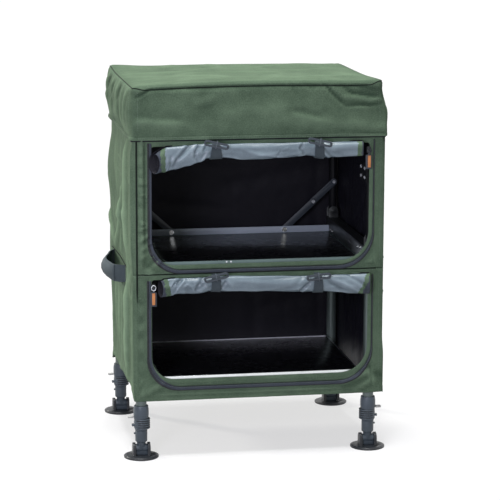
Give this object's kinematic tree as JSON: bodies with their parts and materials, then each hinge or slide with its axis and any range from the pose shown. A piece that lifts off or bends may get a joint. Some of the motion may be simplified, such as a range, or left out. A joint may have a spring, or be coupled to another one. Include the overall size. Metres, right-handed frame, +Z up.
{
  "type": "camping cupboard",
  "caption": "Folding camping cupboard with shelves in a fabric cover, roll-up zip doors, lift-off hood, folding side frames and telescopic legs with tilting feet.",
  "frame": {"origin": "on the ground, in the middle of the footprint", "axes": "+Z up, front towards -Y, width along X"},
  "size_m": [0.6106, 0.4917, 0.85],
  "materials": {
    "cover_cloth": "woven green polyester, stitched",
    "lining_cloth": "coated lining, slight sheen",
    "webbing": "woven tape",
    "leg_plastic": "moulded, satin",
    "foot_plastic": "moulded, satin",
    "tube_grey": "coated tube, satin",
    "frame_black": "powder coated, satin",
    "stay_grey": "powder coated, satin",
    "shelf_black": "gloss laminate",
    "aluminium": "anodised, satin",
    "pin_white": "moulded, pale",
    "toggle_plastic": "moulded, satin",
    "zip_metal": "plated",
    "tab_rubber": "moulded, matt"
  },
  "bodies": {
    "frame": {"lower_post_front_left": "tube_grey", "leg_collar_front_left": "leg_plastic", "lower_post_front_right": "tube_grey", "leg_collar_front_right": "leg_plastic", "lower_post_rear_left": "tube_grey", "leg_collar_rear_left": "leg_plastic", "lower_post_rear_right": "tube_grey", "leg_collar_rear_right": "leg_plastic", "bottom_rim": "aluminium", "bottom_board": "shelf_black", "middle_rim": "aluminium", "middle_board": "shelf_black", "rear_bar": "stay_grey", "hinge_rail_left": "aluminium", "handle_left": "webbing", "cover_left": "cover_cloth", "hinge_rail_right": "aluminium", "handle_right": "webbing", "cover_right": "cover_cloth", "cover_front": "cover_cloth", "cover_back": "cover_cloth", "door_roll_upper": "lining_cloth", "strap_upper_left": "webbing", "strap_upper_right": "webbing", "door_roll_lower": "lining_cloth", "strap_lower_left": "webbing", "strap_lower_right": "webbing"},
    "upper_left": {"upper_frame_left": "frame_black"},
    "stay_lower_left": {"stay_lower_left": "stay_grey"},
    "stay_upper_left": {"stay_upper_left": "stay_grey"},
    "upper_right": {"upper_frame_right": "frame_black"},
    "stay_lower_right": {"stay_lower_right": "stay_grey"},
    "stay_upper_right": {"stay_upper_right": "stay_grey"},
    "table": {"table_top": "shelf_black"},
    "hood": {"hood": "cover_cloth"},
    "leg_front_left": {"inner_leg_front_left": "tube_grey", "ankle_adaptor_front_left": "leg_plastic"},
    "foot_front_left": {"foot_front_left": "foot_plastic"},
    "pin_front_left": {"lock_pin_front_left": "pin_white"},
    "leg_front_right": {"inner_leg_front_right": "tube_grey", "ankle_adaptor_front_right": "leg_plastic"},
    "foot_front_right": {"foot_front_right": "foot_plastic"},
    "pin_front_right": {"lock_pin_front_right": "pin_white"},
    "leg_rear_left": {"inner_leg_rear_left": "tube_grey", "ankle_adaptor_rear_left": "leg_plastic"},
    "foot_rear_left": {"foot_rear_left": "foot_plastic"},
    "pin_rear_left": {"lock_pin_rear_left": "pin_white"},
    "leg_rear_right": {"inner_leg_rear_right": "tube_grey", "ankle_adaptor_rear_right": "leg_plastic"},
    "foot_rear_right": {"foot_rear_right": "foot_plastic"},
    "pin_rear_right": {"lock_pin_rear_right": "pin_white"},
    "toggle_upper_left": {"toggle_upper_left": "toggle_plastic"},
    "toggle_upper_right": {"toggle_upper_right": "toggle_plastic"},
    "toggle_lower_left": {"toggle_lower_left": "toggle_plastic"},
    "toggle_lower_right": {"toggle_lower_right": "toggle_plastic"},
    "zip_lower": {"zip_slider_lower": "zip_metal"},
    "tab_lower": {"pull_tab_lower": "tab_rubber"},
    "zip_upper": {"zip_slider_upper": "zip_metal"},
    "tab_upper": {"pull_tab_upper": "tab_rubber"}
  },
  "joints": [
    {"name": "upper_left_fold", "type": "hinge", "parent": "frame", "child": "upper_left", "pos_m": [-0.265, 0, 0.4665], "axis": [0, 1, 0], "range_deg": [0, 90]},
    {"name": "stay_lower_left_turn", "type": "hinge", "parent": "frame", "child": "stay_lower_left", "pos_m": [-0.14, 0.1894, 0.448], "axis": [0, -1, 0], "range_deg": [-1, 41]},
    {"name": "stay_upper_left_turn", "type": "hinge", "parent": "upper_left", "child": "stay_upper_left", "pos_m": [-0.265, 0.1917, 0.562], "axis": [0, 1, 0], "range_deg": [-1, 41]},
    {"name": "upper_right_fold", "type": "hinge", "parent": "frame", "child": "upper_right", "pos_m": [0.265, 0, 0.4891], "axis": [0, -1, 0], "range_deg": [0, 90]},
    {"name": "stay_lower_right_turn", "type": "hinge", "parent": "frame", "child": "stay_lower_right", "pos_m": [0.14, 0.1894, 0.448], "axis": [0, 1, 0], "range_deg": [-1, 52]},
    {"name": "stay_upper_right_turn", "type": "hinge", "parent": "upper_right", "child": "stay_upper_right", "pos_m": [0.265, 0.1917, 0.562], "axis": [0, -1, 0], "range_deg": [-3, 3]},
    {"name": "leg_front_left_slide", "type": "slide", "parent": "frame", "child": "leg_front_left", "axis": [0, 0, -1], "range_m": [0, 0.15]},
    {"name": "foot_front_left_tilt", "type": "hinge", "parent": "leg_front_left", "child": "foot_front_left", "pos_m": [-0.265, -0.203, 0.0205], "axis": [1, 0, 0], "range_deg": [-30, 30]},
    {"name": "pin_front_left_pull", "type": "slide", "parent": "frame", "child": "pin_front_left", "axis": [-1, 0, 0], "range_m": [0, 0.006], "stiffness_N_per_m": 400, "springref_m": -0.003},
    {"name": "leg_front_right_slide", "type": "slide", "parent": "frame", "child": "leg_front_right", "axis": [0, 0, -1], "range_m": [0, 0.15]},
    {"name": "foot_front_right_tilt", "type": "hinge", "parent": "leg_front_right", "child": "foot_front_right", "pos_m": [0.265, -0.203, 0.0205], "axis": [1, 0, 0], "range_deg": [-30, 30]},
    {"name": "pin_front_right_pull", "type": "slide", "parent": "frame", "child": "pin_front_right", "axis": [1, 0, 0], "range_m": [0, 0.006], "stiffness_N_per_m": 400, "springref_m": -0.003},
    {"name": "leg_rear_left_slide", "type": "slide", "parent": "frame", "child": "leg_rear_left", "axis": [0, 0, -1], "range_m": [0, 0.15]},
    {"name": "foot_rear_left_tilt", "type": "hinge", "parent": "leg_rear_left", "child": "foot_rear_left", "pos_m": [-0.265, 0.203, 0.0205], "axis": [1, 0, 0], "range_deg": [-30, 30]},
    {"name": "pin_rear_left_pull", "type": "slide", "parent": "frame", "child": "pin_rear_left", "axis": [-1, 0, 0], "range_m": [0, 0.006], "stiffness_N_per_m": 400, "springref_m": -0.003},
    {"name": "leg_rear_right_slide", "type": "slide", "parent": "frame", "child": "leg_rear_right", "axis": [0, 0, -1], "range_m": [0, 0.15]},
    {"name": "foot_rear_right_tilt", "type": "hinge", "parent": "leg_rear_right", "child": "foot_rear_right", "pos_m": [0.265, 0.203, 0.0205], "axis": [1, 0, 0], "range_deg": [-30, 30]},
    {"name": "pin_rear_right_pull", "type": "slide", "parent": "frame", "child": "pin_rear_right", "axis": [1, 0, 0], "range_m": [0, 0.006], "stiffness_N_per_m": 400, "springref_m": -0.003},
    {"name": "table_lift", "type": "slide", "parent": "frame", "child": "table", "axis": [0, 0, 1], "range_m": [0, 0.14]},
    {"name": "hood_lift", "type": "slide", "parent": "table", "child": "hood", "axis": [0, 0, 1], "range_m": [0, 0.14]},
    {"name": "toggle_upper_left_swivel", "type": "hinge", "parent": "frame", "child": "toggle_upper_left", "pos_m": [-0.09802, -0.2455, 0.713], "axis": [0, -1, 0], "range_deg": [-90, 90]},
    {"name": "toggle_upper_right_swivel", "type": "hinge", "parent": "frame", "child": "toggle_upper_right", "pos_m": [0.13702, -0.2455, 0.713], "axis": [0, -1, 0], "range_deg": [-90, 90]},
    {"name": "toggle_lower_left_swivel", "type": "hinge", "parent": "frame", "child": "toggle_lower_left", "pos_m": [-0.09802, -0.2455, 0.41], "axis": [0, -1, 0], "range_deg": [-90, 90]},
    {"name": "toggle_lower_right_swivel", "type": "hinge", "parent": "frame", "child": "toggle_lower_right", "pos_m": [0.13702, -0.2455, 0.41], "axis": [0, -1, 0], "range_deg": [-90, 90]},
    {"name": "zip_lower_run", "type": "slide", "parent": "frame", "child": "zip_lower", "axis": [0, 0, -1], "range_m": [0, 0.17]},
    {"name": "tab_lower_flip", "type": "hinge", "parent": "zip_lower", "child": "tab_lower", "pos_m": [-0.23802, -0.2251, 0.3944], "axis": [-1, 0, 0], "range_deg": [0, 150]},
    {"name": "zip_upper_run", "type": "slide", "parent": "frame", "child": "zip_upper", "axis": [0, 0, -1], "range_m": [0, 0.2]},
    {"name": "tab_upper_flip", "type": "hinge", "parent": "zip_upper", "child": "tab_upper", "pos_m": [0.25402, -0.2251, 0.6964], "axis": [-1, 0, 0], "range_deg": [0, 150]}
  ],
  "couplings": [
    {"joint": "stay_lower_left_turn", "follows": "upper_left_fold", "ratio": 0.42678},
    {"joint": "stay_upper_left_turn", "follows": "upper_left_fold", "ratio": 0.423},
    {"joint": "stay_lower_right_turn", "follows": "upper_right_fold", "ratio": 0.54678},
    {"joint": "stay_upper_right_turn", "follows": "upper_right_fold", "ratio": -0.01389}
  ]
}
